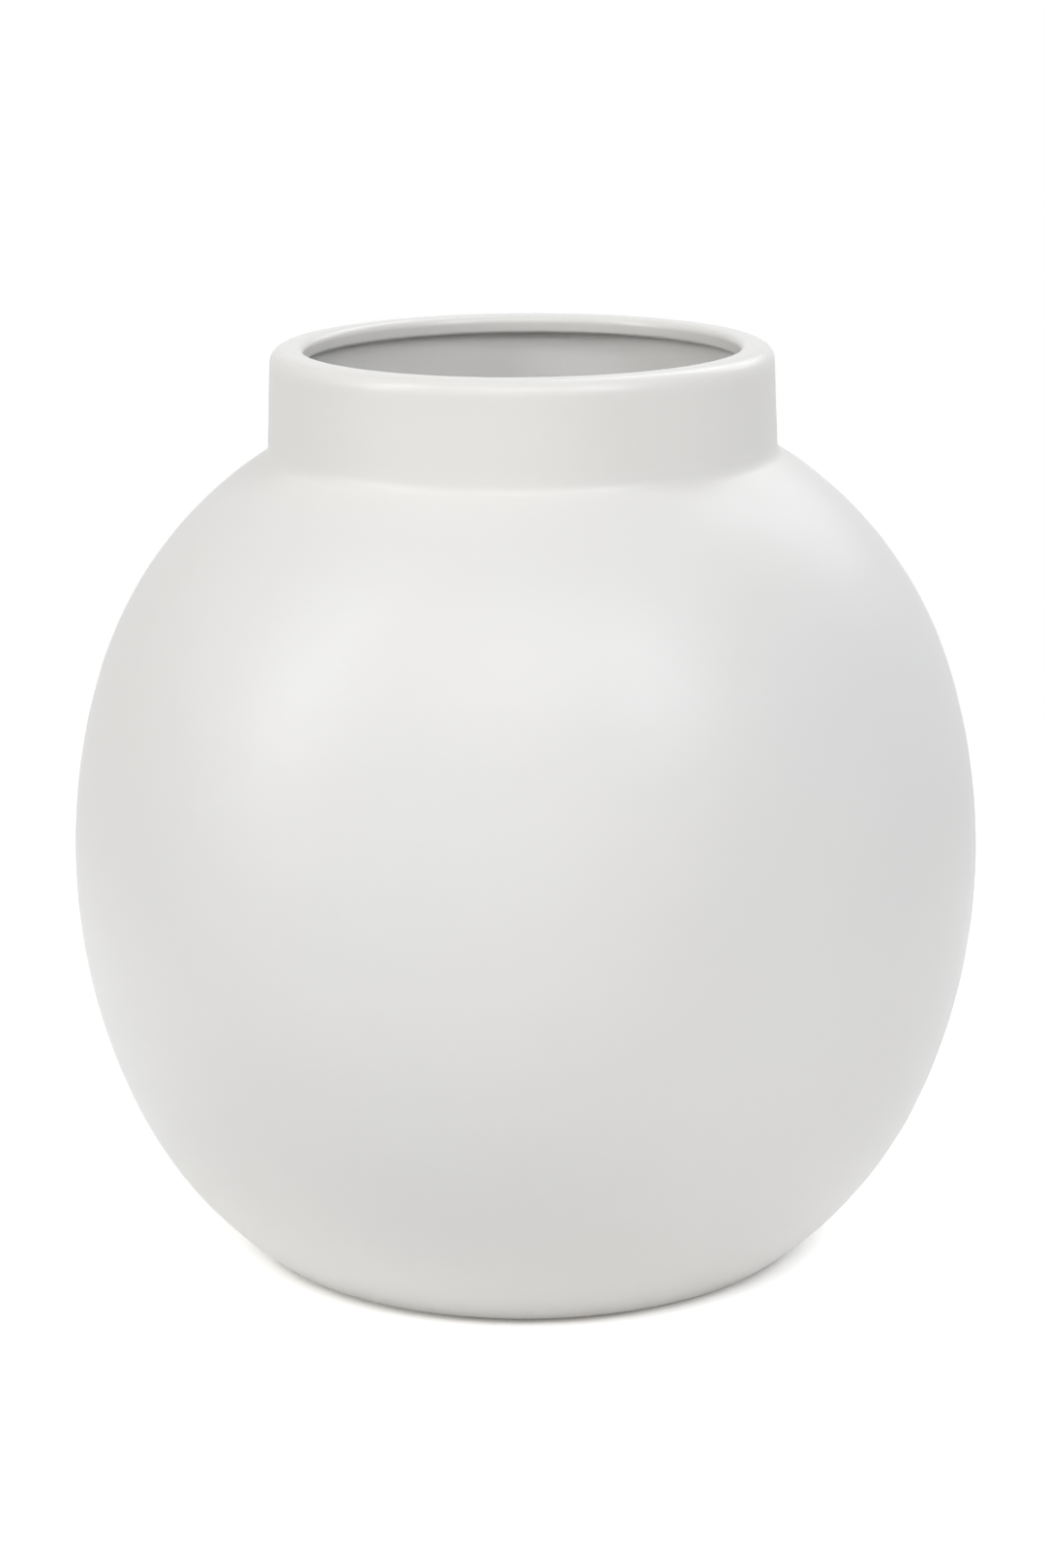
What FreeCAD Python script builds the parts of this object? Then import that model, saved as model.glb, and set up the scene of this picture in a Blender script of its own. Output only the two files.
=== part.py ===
import FreeCAD, Part
import math
import os
import Sketcher

doc = FreeCAD.newDocument("moon_jar")

# Driving sizes, in millimetres and degrees.
# The glazed outline is a chain of tangent arcs, and every wall lies at a depth inside it.
SIZES = [
    # body outline, from the belly down to the table
    ("belly_radius", 115.0),
    ("lower_side_radius", 151.4),
    ("lower_side_sweep", 23.5),
    ("hip_radius", 100.0),
    ("foot_edge_radius", 69.6),
    # body outline, from the belly up to the collar
    ("upper_side_radius", 156.9),
    ("upper_side_sweep", 17.7),
    ("shoulder_radius", 101.4),
    # collar and lip
    ("collar_base_radius", 63.6),
    ("collar_taper", 0.8),
    ("collar_height", 24.2),
    ("collar_fillet_radius", 3.6),
    ("lip_outer_round", 3.4),
    ("lip_inner_round", 1.4),
    ("bead_overhang", 3.0),
    ("bead_lower_round", 0.3),
    ("mouth_land", 1.7),
    # walls and coats
    ("body_wall", 4.4),
    ("glaze_thickness", 0.6),
    ("floor_thickness", 6.0),
    ("floor_round", 20.0),
    # foot
    ("foot_height", 4.5),
    ("foot_ring_width", 11.6),
    ("foot_outer_round", 1.5),
    ("foot_inner_round", 1.0),
    ("glaze_stop_height", 1.2),
    # luted joints
    ("slip_thickness", 0.5),
    ("waist_lap_height", 4.0),
    ("coil_width", 16.0),
    ("coil_rise", 2.0),
]

sheet = doc.addObject("Spreadsheet::Sheet", "sizes")
for row, (alias, value) in enumerate(SIZES, start=1):
    cell = f"A{row}"
    sheet.set(cell, str(value))
    sheet.setAlias(cell, alias)
doc.recompute()

# Places worked out from the sheet: arc centres, heights and the levels of the joints.
# The r of a place is its distance from the jar's axis, and its z is its height above the table.
PLACES = [
    # arcs below the belly
    ("lower_side_r", "sizes.belly_radius - sizes.lower_side_radius"),
    ("hip_r", "places.lower_side_r"
              " + (sizes.lower_side_radius - sizes.hip_radius) * cos(sizes.lower_side_sweep)"),
    ("hip_z", "sqrt(sizes.hip_radius ^ 2 - (sizes.foot_edge_radius - places.hip_r) ^ 2)"),
    ("belly_z", "places.hip_z"
                " + (sizes.lower_side_radius - sizes.hip_radius) * sin(sizes.lower_side_sweep)"),
    # arcs above the belly
    ("upper_side_r", "sizes.belly_radius - sizes.upper_side_radius"),
    ("shoulder_r", "places.upper_side_r"
                   " + (sizes.upper_side_radius - sizes.shoulder_radius) * cos(sizes.upper_side_sweep)"),
    ("shoulder_z", "places.belly_z"
                   " + (sizes.upper_side_radius - sizes.shoulder_radius) * sin(sizes.upper_side_sweep)"),
    # concave fillet between shoulder and collar, and the direction in which the two arcs touch
    ("fillet_r", "sizes.collar_base_radius + sizes.collar_fillet_radius"),
    ("fillet_reach", "sizes.shoulder_radius + sizes.collar_fillet_radius"),
    ("fillet_z", "places.shoulder_z"
                 " + sqrt(places.fillet_reach ^ 2 - (places.fillet_r - places.shoulder_r) ^ 2)"),
    ("touch_out", "(places.fillet_r - places.shoulder_r) / places.fillet_reach"),
    ("touch_up", "(places.fillet_z - places.shoulder_z) / places.fillet_reach"),
    # depths below the glazed outline
    ("clay_depth", "sizes.glaze_thickness"),
    ("hollow_depth", "sizes.glaze_thickness + sizes.body_wall"),
    ("lining_depth", "places.hollow_depth + sizes.glaze_thickness"),
    # rim, bead and mouth
    ("rim_z", "places.fillet_z + sizes.collar_height"),
    ("collar_top_r", "sizes.collar_base_radius - sizes.collar_taper"),
    ("mouth_r", "places.collar_top_r - places.lining_depth - sizes.bead_overhang"),
    ("lip_outer_r", "places.collar_top_r - places.clay_depth - sizes.lip_outer_round"),
    ("lip_outer_z", "places.rim_z - places.clay_depth - sizes.lip_outer_round"),
    ("lip_inner_r", "places.mouth_r + places.clay_depth + sizes.lip_inner_round"),
    ("lip_inner_z", "places.rim_z - places.clay_depth - sizes.lip_inner_round"),
    ("bead_r", "places.mouth_r + places.clay_depth + sizes.bead_lower_round"),
    ("bead_z", "places.lip_inner_z - sizes.mouth_land"),
    ("undercut_z", "places.bead_z - sizes.bead_lower_round"),
    # floor and foot
    ("floor_z", "sizes.foot_height + sizes.floor_thickness"),
    ("floor_round_z", "places.floor_z + sizes.floor_round"),
    ("floor_round_reach", "sizes.hip_radius - places.hollow_depth - sizes.floor_round"),
    ("floor_round_r", "places.hip_r"
                      " + sqrt(places.floor_round_reach ^ 2 - (places.floor_round_z - places.hip_z) ^ 2)"),
    ("foot_inner_r", "sizes.foot_edge_radius - sizes.foot_ring_width"),
    ("foot_top_z", "sizes.foot_height - sizes.slip_thickness"),
    ("foot_round_reach", "sizes.hip_radius - places.clay_depth - sizes.foot_outer_round"),
    ("foot_round_r", "places.hip_r"
                     " + sqrt(places.foot_round_reach ^ 2 - (sizes.foot_outer_round - places.hip_z) ^ 2)"),
    # stepped lap at the waist: a tongue on the lower bowl, a rebate in the upper one
    ("waist_mid_r", "sizes.belly_radius - places.clay_depth - sizes.body_wall / 2"),
    ("tongue_r", "places.waist_mid_r - sizes.slip_thickness / 2"),
    ("rebate_r", "places.tongue_r + sizes.slip_thickness"),
    ("shelf_z", "places.belly_z - sizes.waist_lap_height / 2"),
    ("tongue_z", "places.belly_z + sizes.waist_lap_height / 2"),
    # stepped seat for the collar: a flange on a ledge, a spigot in the opening
    ("seat_r", "places.fillet_r"),
    ("spigot_r", "places.seat_r"
                 " - (sizes.collar_fillet_radius + places.hollow_depth) * places.touch_out / 2"),
    ("ledge_z", "(places.shoulder_z + sqrt((sizes.shoulder_radius - places.clay_depth) ^ 2"
                " - (places.seat_r - places.shoulder_r) ^ 2)"
                " + places.shoulder_z + sqrt((sizes.shoulder_radius - places.hollow_depth) ^ 2"
                " - (places.spigot_r - places.shoulder_r) ^ 2)) / 2"),
    # coil pressed over the waist joint from inside
    ("coil_low_z", "places.belly_z - sizes.coil_width / 2"),
    ("coil_high_z", "places.belly_z + sizes.coil_width / 2"),
    ("coil_radius", "(sizes.coil_width ^ 2 / 4 + sizes.coil_rise ^ 2) / (2 * sizes.coil_rise)"),
    ("coil_lining_radius", "((sizes.coil_width / 2 + sizes.glaze_thickness) ^ 2 + sizes.coil_rise ^ 2)"
                           " / (2 * sizes.coil_rise)"),
]

places = doc.addObject("App::VarSet", "places")
for name, formula in PLACES:
    places.addProperty("App::PropertyFloat", name, "Places")
    places.setExpression(name, formula)
doc.recompute()


def value_of(formula):
    return float(places.evalExpression(formula))


# The four arcs of the body outline: centre r, centre z and radius of the glazed surface.
HIP = ("places.hip_r", "places.hip_z", "sizes.hip_radius")
LOWER_SIDE = ("places.lower_side_r", "places.belly_z", "sizes.lower_side_radius")
UPPER_SIDE = ("places.upper_side_r", "places.belly_z", "sizes.upper_side_radius")
SHOULDER = ("places.shoulder_r", "places.shoulder_z", "sizes.shoulder_radius")

# Depths of the surfaces below the glazed outline: glaze skin, fired clay, hollow and its lining.
SKIN = "0"
CLAY = "places.clay_depth"
HOLLOW = "places.hollow_depth"
LINING = "places.lining_depth"


def at_height(arc, depth, height):
    """Corner on an arc of the outline, at a depth below it and a height above the table."""
    centre_r, centre_z, radius = arc
    return (f"{centre_r} + sqrt(({radius} - {depth}) ^ 2 - ({height} - {centre_z}) ^ 2)", height)


def at_radius(arc, depth, distance):
    """Corner on the upper half of an arc, at a depth below it and a distance from the axis."""
    centre_r, centre_z, radius = arc
    return (distance, f"{centre_z} + sqrt(({radius} - {depth}) ^ 2 - ({distance} - {centre_r}) ^ 2)")


def hip_top(depth):
    """Corner where the hip arc hands over to the lower side arc."""
    centre_r, centre_z, radius = LOWER_SIDE
    return (f"{centre_r} + ({radius} - {depth}) * cos(sizes.lower_side_sweep)",
            f"{centre_z} - ({radius} - {depth}) * sin(sizes.lower_side_sweep)")


def belly(depth):
    """Widest corner of the outline."""
    return (f"sizes.belly_radius - {depth}", "places.belly_z")


def shoulder_base(depth):
    """Corner where the upper side arc hands over to the shoulder arc."""
    centre_r, centre_z, radius = UPPER_SIDE
    return (f"{centre_r} + ({radius} - {depth}) * cos(sizes.upper_side_sweep)",
            f"{centre_z} + ({radius} - {depth}) * sin(sizes.upper_side_sweep)")


def fillet_foot(depth):
    """Corner where the shoulder arc touches the fillet under the collar."""
    centre_r, centre_z, radius = SHOULDER
    return (f"{centre_r} + ({radius} - {depth}) * places.touch_out",
            f"{centre_z} + ({radius} - {depth}) * places.touch_up")


def floor_edge(depth):
    """Corner where the hip arc touches the round at the edge of the floor."""
    centre_r, centre_z, radius = HIP
    out = f"(places.floor_round_r - {centre_r}) / places.floor_round_reach"
    up = f"(places.floor_round_z - {centre_z}) / places.floor_round_reach"
    return (f"{centre_r} + ({radius} - {depth}) * {out}", f"{centre_z} + ({radius} - {depth}) * {up}")


def foot_corner():
    """Corner where the hip arc of the clay touches the round at the outside of the foot."""
    centre_r, centre_z, radius = HIP
    out = f"(places.foot_round_r - {centre_r}) / places.foot_round_reach"
    down = f"(sizes.foot_outer_round - {centre_z}) / places.foot_round_reach"
    return (f"{centre_r} + ({radius} - {CLAY}) * {out}", f"{centre_z} + ({radius} - {CLAY}) * {down}")


LINE = None


def left(radius):
    """Edge that bends left, with its centre on the left of the way it runs."""
    return (radius, True)


def right(radius):
    """Edge that bends right."""
    return (radius, False)


def swept(arc, depth):
    """Edge along an arc of the outline, running up."""
    return left(f"{arc[2]} - {depth}")


def swept_down(arc, depth):
    """Edge along an arc of the outline, running down."""
    return right(f"{arc[2]} - {depth}")


def arc_between(first, last, radius, bends_left):
    """Arc under half a turn from one point to another, drawn anticlockwise as sketches keep it."""
    chord = last - first
    half = chord.Length / 2
    aside = FreeCAD.Vector(-chord.y, chord.x, 0).normalize()
    reach = math.sqrt(max(radius ** 2 - half ** 2, 0))
    centre = (first + last) / 2 + aside * (reach if bends_left else -reach)
    start, end = (first, last) if bends_left else (last, first)
    angles = [math.atan2(point.y - centre.y, point.x - centre.x) for point in (start, end)]
    circle = Part.Circle(centre, FreeCAD.Vector(0, 0, 1), radius)
    return Part.ArcOfCircle(circle, *angles)


def turned(label, outline):
    """Turns a closed section about the jar's axis. The outline lists corners and edges in turn."""
    body = doc.addObject("PartDesign::Body", label)
    body.Label = label
    plane = next(item for item in body.Origin.OriginFeatures if item.Role == "XZ_Plane")
    section = body.newObject("Sketcher::SketchObject", f"{label}_section")
    section.AttachmentSupport = (plane, [""])
    section.MapMode = "FlatFace"

    corners = outline[0::2]
    edges = outline[1::2]
    points = [FreeCAD.Vector(value_of(r), value_of(z), 0) for r, z in corners]
    ends = []
    for number, edge in enumerate(edges):
        first = points[number]
        last = points[(number + 1) % len(points)]
        if edge is LINE:
            drawn = section.addGeometry(Part.LineSegment(first, last))
            ends.append((drawn, 1, 2))
        else:
            radius, bends_left = edge
            drawn = section.addGeometry(arc_between(first, last, value_of(radius), bends_left))
            ends.append((drawn, 1, 2) if bends_left else (drawn, 2, 1))
            bound = section.addConstraint(Sketcher.Constraint("Radius", drawn, value_of(radius)))
            section.renameConstraint(bound, f"radius_{number}")
            section.setExpression(f"Constraints.radius_{number}", radius)

    for number, (r, z) in enumerate(corners):
        drawn, start, _ = ends[number]
        before, _, finish = ends[number - 1]
        section.addConstraint(Sketcher.Constraint("Coincident", before, finish, drawn, start))
        for kind, axis, formula in (("DistanceX", -2, r), ("DistanceY", -1, z)):
            if formula == "0":
                section.addConstraint(Sketcher.Constraint("PointOnObject", drawn, start, axis))
                continue
            place = Sketcher.Constraint(kind, -1, 1, drawn, start, value_of(formula))
            bound = section.addConstraint(place)
            section.renameConstraint(bound, f"{kind}_{number}")
            section.setExpression(f"Constraints.{kind}_{number}", formula)

    turn = body.newObject("PartDesign::Revolution", f"{label}_turned")
    turn.Profile = section
    turn.ReferenceAxis = (section, ["V_Axis"])
    turn.Angle = 360
    section.Visibility = False
    return body


# Lower bowl: thrown floor and wall, with a tongue round its rim.
def lower_bowl():
    return turned("lower_bowl", [
        ("0", "sizes.foot_height"), LINE,
        at_height(HIP, CLAY, "sizes.foot_height"), swept(HIP, CLAY),
        hip_top(CLAY), swept(LOWER_SIDE, CLAY),
        at_height(LOWER_SIDE, CLAY, "places.shelf_z"), LINE,
        ("places.tongue_r", "places.shelf_z"), LINE,
        ("places.tongue_r", "places.tongue_z"), LINE,
        at_height(UPPER_SIDE, HOLLOW, "places.tongue_z"), swept_down(UPPER_SIDE, HOLLOW),
        belly(HOLLOW), swept_down(LOWER_SIDE, HOLLOW),
        hip_top(HOLLOW), swept_down(HIP, HOLLOW),
        floor_edge(HOLLOW), right("sizes.floor_round"),
        ("places.floor_round_r", "places.floor_z"), LINE,
        ("0", "places.floor_z"), LINE,
    ])


# Upper bowl: thrown upside down, rebated over the tongue, with a ledge round its opening.
def upper_bowl():
    return turned("upper_bowl", [
        ("places.rebate_r", "places.shelf_z + sizes.slip_thickness"), LINE,
        at_height(LOWER_SIDE, CLAY, "places.shelf_z + sizes.slip_thickness"), swept(LOWER_SIDE, CLAY),
        belly(CLAY), swept(UPPER_SIDE, CLAY),
        shoulder_base(CLAY), swept(SHOULDER, CLAY),
        at_radius(SHOULDER, CLAY, "places.seat_r"), LINE,
        ("places.seat_r", "places.ledge_z"), LINE,
        ("places.spigot_r", "places.ledge_z"), LINE,
        at_radius(SHOULDER, HOLLOW, "places.spigot_r"), swept_down(SHOULDER, HOLLOW),
        shoulder_base(HOLLOW), swept_down(UPPER_SIDE, HOLLOW),
        at_height(UPPER_SIDE, HOLLOW, "places.tongue_z + sizes.slip_thickness"), LINE,
        ("places.rebate_r", "places.tongue_z + sizes.slip_thickness"), LINE,
    ])


# Collar: short upright neck with a flange and spigot below, a round lip and a bead inside it.
def neck_collar():
    flange_r = "places.seat_r - sizes.slip_thickness"
    spigot_r = "places.spigot_r - sizes.slip_thickness"
    base_z = "places.ledge_z + sizes.slip_thickness"
    return turned("neck_collar", [
        at_radius(SHOULDER, HOLLOW, f"({spigot_r})"), LINE,
        (spigot_r, base_z), LINE,
        (flange_r, base_z), LINE,
        at_radius(SHOULDER, CLAY, f"({flange_r})"), swept(SHOULDER, CLAY),
        fillet_foot(CLAY), right(f"sizes.collar_fillet_radius + {CLAY}"),
        (f"sizes.collar_base_radius - {CLAY}", "places.fillet_z"), LINE,
        (f"places.collar_top_r - {CLAY}", "places.lip_outer_z"), left("sizes.lip_outer_round"),
        ("places.lip_outer_r", f"places.rim_z - {CLAY}"), LINE,
        ("places.lip_inner_r", f"places.rim_z - {CLAY}"), left("sizes.lip_inner_round"),
        (f"places.mouth_r + {CLAY}", "places.lip_inner_z"), LINE,
        (f"places.mouth_r + {CLAY}", "places.bead_z"), left("sizes.bead_lower_round"),
        ("places.bead_r", "places.undercut_z"), LINE,
        (f"places.collar_top_r - {HOLLOW}", "places.undercut_z"), LINE,
        (f"sizes.collar_base_radius - {HOLLOW}", "places.fillet_z"), left(
            f"sizes.collar_fillet_radius + {HOLLOW}"),
        fillet_foot(HOLLOW), swept_down(SHOULDER, HOLLOW),
    ])


# Foot ring: luted under the lower bowl, flat where it stands.
def foot_ring():
    return turned("foot_ring", [
        ("places.foot_inner_r", "sizes.foot_inner_round"), left("sizes.foot_inner_round"),
        ("places.foot_inner_r + sizes.foot_inner_round", "0"), LINE,
        ("places.foot_round_r", "0"), left("sizes.foot_outer_round"),
        foot_corner(), swept(HIP, CLAY),
        at_height(HIP, CLAY, "places.foot_top_z"), LINE,
        ("places.foot_inner_r", "places.foot_top_z"), LINE,
    ])


# Slip between the two bowls, stepped with the tongue and rebate.
def waist_slip():
    outer_top = "places.shelf_z + sizes.slip_thickness"
    inner_top = "places.tongue_z + sizes.slip_thickness"
    return turned("waist_slip", [
        ("places.tongue_r", "places.shelf_z"), LINE,
        at_height(LOWER_SIDE, CLAY, "places.shelf_z"), swept(LOWER_SIDE, CLAY),
        at_height(LOWER_SIDE, CLAY, outer_top), LINE,
        ("places.rebate_r", outer_top), LINE,
        ("places.rebate_r", inner_top), LINE,
        at_height(UPPER_SIDE, HOLLOW, inner_top), swept_down(UPPER_SIDE, HOLLOW),
        at_height(UPPER_SIDE, HOLLOW, "places.tongue_z"), LINE,
        ("places.tongue_r", "places.tongue_z"), LINE,
    ])


# Slip between the upper bowl and the collar, stepped with the ledge and spigot.
def neck_slip():
    flange_r = "places.seat_r - sizes.slip_thickness"
    spigot_r = "places.spigot_r - sizes.slip_thickness"
    base_z = "places.ledge_z + sizes.slip_thickness"
    return turned("neck_slip", [
        at_radius(SHOULDER, HOLLOW, "places.spigot_r"), LINE,
        ("places.spigot_r", "places.ledge_z"), LINE,
        ("places.seat_r", "places.ledge_z"), LINE,
        at_radius(SHOULDER, CLAY, "places.seat_r"), swept(SHOULDER, CLAY),
        at_radius(SHOULDER, CLAY, f"({flange_r})"), LINE,
        (flange_r, base_z), LINE,
        (spigot_r, base_z), LINE,
        at_radius(SHOULDER, HOLLOW, f"({spigot_r})"), swept_down(SHOULDER, HOLLOW),
    ])


# Slip between the lower bowl and the foot ring.
def foot_slip():
    return turned("foot_slip", [
        ("places.foot_inner_r", "places.foot_top_z"), LINE,
        at_height(HIP, CLAY, "places.foot_top_z"), swept(HIP, CLAY),
        at_height(HIP, CLAY, "sizes.foot_height"), LINE,
        ("places.foot_inner_r", "sizes.foot_height"), LINE,
    ])


# Coil of clay pressed over the waist joint from inside.
def waist_coil():
    return turned("waist_coil", [
        at_height(LOWER_SIDE, HOLLOW, "places.coil_low_z"), swept(LOWER_SIDE, HOLLOW),
        belly(HOLLOW), swept(UPPER_SIDE, HOLLOW),
        at_height(UPPER_SIDE, HOLLOW, "places.coil_high_z"), left("places.coil_radius"),
    ])


# Outer glaze: from just above the table, over the lip and bead, to the undercut below them.
def outer_glaze():
    glaze = "sizes.glaze_thickness"
    return turned("outer_glaze", [
        at_height(HIP, CLAY, "sizes.glaze_stop_height"), LINE,
        at_height(HIP, SKIN, "sizes.glaze_stop_height"), swept(HIP, SKIN),
        hip_top(SKIN), swept(LOWER_SIDE, SKIN),
        belly(SKIN), swept(UPPER_SIDE, SKIN),
        shoulder_base(SKIN), swept(SHOULDER, SKIN),
        fillet_foot(SKIN), right("sizes.collar_fillet_radius"),
        ("sizes.collar_base_radius", "places.fillet_z"), LINE,
        ("places.collar_top_r", "places.lip_outer_z"), left(f"sizes.lip_outer_round + {glaze}"),
        ("places.lip_outer_r", "places.rim_z"), LINE,
        ("places.lip_inner_r", "places.rim_z"), left(f"sizes.lip_inner_round + {glaze}"),
        ("places.mouth_r", "places.lip_inner_z"), LINE,
        ("places.mouth_r", "places.bead_z"), left(f"sizes.bead_lower_round + {glaze}"),
        ("places.bead_r", f"places.undercut_z - {glaze}"), LINE,
        (f"places.collar_top_r - {LINING}", f"places.undercut_z - {glaze}"), LINE,
        (f"places.collar_top_r - {LINING}", "places.undercut_z"), LINE,
        ("places.bead_r", "places.undercut_z"), right("sizes.bead_lower_round"),
        (f"places.mouth_r + {CLAY}", "places.bead_z"), LINE,
        (f"places.mouth_r + {CLAY}", "places.lip_inner_z"), right("sizes.lip_inner_round"),
        ("places.lip_inner_r", f"places.rim_z - {CLAY}"), LINE,
        ("places.lip_outer_r", f"places.rim_z - {CLAY}"), right("sizes.lip_outer_round"),
        (f"places.collar_top_r - {CLAY}", "places.lip_outer_z"), LINE,
        (f"sizes.collar_base_radius - {CLAY}", "places.fillet_z"), left(
            f"sizes.collar_fillet_radius + {CLAY}"),
        fillet_foot(CLAY), swept_down(SHOULDER, CLAY),
        shoulder_base(CLAY), swept_down(UPPER_SIDE, CLAY),
        belly(CLAY), swept_down(LOWER_SIDE, CLAY),
        hip_top(CLAY), swept_down(HIP, CLAY),
    ])


# Inner glaze: from the undercut below the bead, over the coil, to the middle of the floor.
def inner_glaze():
    glaze = "sizes.glaze_thickness"
    return turned("inner_glaze", [
        ("0", "places.floor_z"), LINE,
        ("places.floor_round_r", "places.floor_z"), left("sizes.floor_round"),
        floor_edge(HOLLOW), swept(HIP, HOLLOW),
        hip_top(HOLLOW), swept(LOWER_SIDE, HOLLOW),
        at_height(LOWER_SIDE, HOLLOW, "places.coil_low_z"), right("places.coil_radius"),
        at_height(UPPER_SIDE, HOLLOW, "places.coil_high_z"), swept(UPPER_SIDE, HOLLOW),
        shoulder_base(HOLLOW), swept(SHOULDER, HOLLOW),
        fillet_foot(HOLLOW), right(f"sizes.collar_fillet_radius + {HOLLOW}"),
        (f"sizes.collar_base_radius - {HOLLOW}", "places.fillet_z"), LINE,
        (f"places.collar_top_r - {HOLLOW}", "places.undercut_z"), LINE,
        (f"places.collar_top_r - {LINING}", "places.undercut_z"), LINE,
        (f"sizes.collar_base_radius - {LINING}", "places.fillet_z"), left(
            f"sizes.collar_fillet_radius + {LINING}"),
        fillet_foot(LINING), swept_down(SHOULDER, LINING),
        shoulder_base(LINING), swept_down(UPPER_SIDE, LINING),
        at_height(UPPER_SIDE, LINING, f"places.coil_high_z + {glaze}"), left("places.coil_lining_radius"),
        at_height(LOWER_SIDE, LINING, f"places.coil_low_z - {glaze}"), swept_down(LOWER_SIDE, LINING),
        hip_top(LINING), swept_down(HIP, LINING),
        floor_edge(LINING), right(f"sizes.floor_round - {glaze}"),
        ("places.floor_round_r", f"places.floor_z + {glaze}"), LINE,
        ("0", f"places.floor_z + {glaze}"), LINE,
    ])


# Base glaze: the recess inside the foot ring.
def base_glaze():
    return turned("base_glaze", [
        ("0", "sizes.foot_height - sizes.glaze_thickness"), LINE,
        ("places.foot_inner_r", "sizes.foot_height - sizes.glaze_thickness"), LINE,
        ("places.foot_inner_r", "sizes.foot_height"), LINE,
        ("0", "sizes.foot_height"), LINE,
    ])


bodies = [
    lower_bowl(), upper_bowl(), neck_collar(), foot_ring(),
    waist_slip(), neck_slip(), foot_slip(), waist_coil(),
    outer_glaze(), inner_glaze(), base_glaze(),
]
doc.recompute()

for item in doc.Objects:
    if "Invalid" in item.State or "Error" in item.State:
        raise RuntimeError(f"{item.Name} did not build: {item.State}")
for body in bodies:
    if body.Shape.isNull() or not body.Shape.isValid() or len(body.Shape.Solids) != 1:
        raise RuntimeError(f"{body.Label} is not one sound solid")

os.makedirs("parts", exist_ok=True)
for body in bodies:
    body.Shape.exportStep(f"parts/{body.Label}.step")
    print(f"{body.Label}: {body.Shape.Volume / 1000:.2f} cubic centimetres")
print(f"mouth radius {places.mouth_r:.2f}, rim height {places.rim_z:.2f}, belly height {places.belly_z:.2f}")
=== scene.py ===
import math

import bpy
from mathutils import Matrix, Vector

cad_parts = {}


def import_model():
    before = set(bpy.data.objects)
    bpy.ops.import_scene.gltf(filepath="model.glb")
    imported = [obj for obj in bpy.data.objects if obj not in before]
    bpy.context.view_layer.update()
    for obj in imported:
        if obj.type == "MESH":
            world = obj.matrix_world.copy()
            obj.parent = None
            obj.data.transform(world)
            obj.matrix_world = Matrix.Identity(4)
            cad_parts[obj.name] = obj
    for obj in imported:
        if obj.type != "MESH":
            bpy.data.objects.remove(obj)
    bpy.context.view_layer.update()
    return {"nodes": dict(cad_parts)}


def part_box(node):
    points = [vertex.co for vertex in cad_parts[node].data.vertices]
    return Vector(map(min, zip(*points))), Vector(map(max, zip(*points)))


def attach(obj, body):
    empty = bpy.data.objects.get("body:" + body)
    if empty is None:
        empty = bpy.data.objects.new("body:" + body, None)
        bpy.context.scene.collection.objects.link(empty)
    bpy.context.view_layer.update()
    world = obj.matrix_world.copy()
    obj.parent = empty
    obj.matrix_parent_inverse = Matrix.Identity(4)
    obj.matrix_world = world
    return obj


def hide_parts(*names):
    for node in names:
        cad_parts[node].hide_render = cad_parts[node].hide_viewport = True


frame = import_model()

# A white moon jar: two thrown bowls, a collar and a foot under a satin-matte glaze.
# Metres throughout; the jar stands on z = 0 with its axis on Z.

jar = {
    "bellyRadius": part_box("outer_glaze")[1][0],
    "lowerSideRadius": 0.1514,
    "lowerSideSweep": math.radians(23.5),
    "hipRadius": 0.1,
    "footEdgeRadius": 0.0696,
    "upperSideRadius": 0.1569,
    "upperSideSweep": math.radians(17.7),
    "shoulderRadius": 0.1014,
    "collarBaseRadius": 0.0636,
    "collarTaper": 0.0008,
    "filletRadius": 0.0036,
    "lipOuterRound": 0.0034,
    "lipInnerRound": 0.0014,
    "beadLowerRound": 0.0003,
    "beadOverhang": 0.003,
    "mouthLand": 0.0017,
    "rimHeight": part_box("outer_glaze")[1][2],
    "glaze": 0.0006,
    "wall": 0.0044,
    "floorRound": 0.02,
    "glazeStop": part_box("outer_glaze")[0][2],
    "coilWidth": 0.016,
    "coilRise": 0.002,
    "coilRoundness": 1.5,
}


# Nodes

class Wire:
    # One socket of a node tree. Sums and products of wires add Math nodes.
    def __init__(self, bench, socket):
        self.bench = bench
        self.socket = socket

    def maths(self, operation, other, swapped=False):
        pair = (other, self) if swapped else (self, other)
        return self.bench.node("ShaderNodeMath", {"operation": operation}, {0: pair[0], 1: pair[1]})

    def __add__(self, other):
        return self.maths("ADD", other)

    def __radd__(self, other):
        return self.maths("ADD", other, True)

    def __sub__(self, other):
        return self.maths("SUBTRACT", other)

    def __rsub__(self, other):
        return self.maths("SUBTRACT", other, True)

    def __mul__(self, other):
        return self.maths("MULTIPLY", other)

    def __rmul__(self, other):
        return self.maths("MULTIPLY", other, True)

    def __truediv__(self, other):
        return self.maths("DIVIDE", other)

    def __rtruediv__(self, other):
        return self.maths("DIVIDE", other, True)

    def __pow__(self, other):
        return self.maths("POWER", other)


class Bench:
    # Where the nodes of one tree are laid out.
    def __init__(self, tree):
        self.tree = tree

    def node(self, kind, settings=None, sockets=None, out=0):
        made = self.tree.nodes.new(kind)
        for name, value in (settings or {}).items():
            setattr(made, name, value)
        for name, value in (sockets or {}).items():
            self.plug(value, made.inputs[name])
        return Wire(self, made.outputs[out])

    def plug(self, value, socket):
        if isinstance(value, Wire):
            self.tree.links.new(value.socket, socket)
        else:
            socket.default_value = value

    def other(self, wire, name):
        return Wire(self, wire.socket.node.outputs[name])


# Outline of the jar, as points (distance from the axis, height)

smallCurve = 5  # small curves take steps this many times shorter
anyLength = 1.0  # a step longer than any run, which adds no points
samePlace = 1e-6  # two points nearer than this are one


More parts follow.
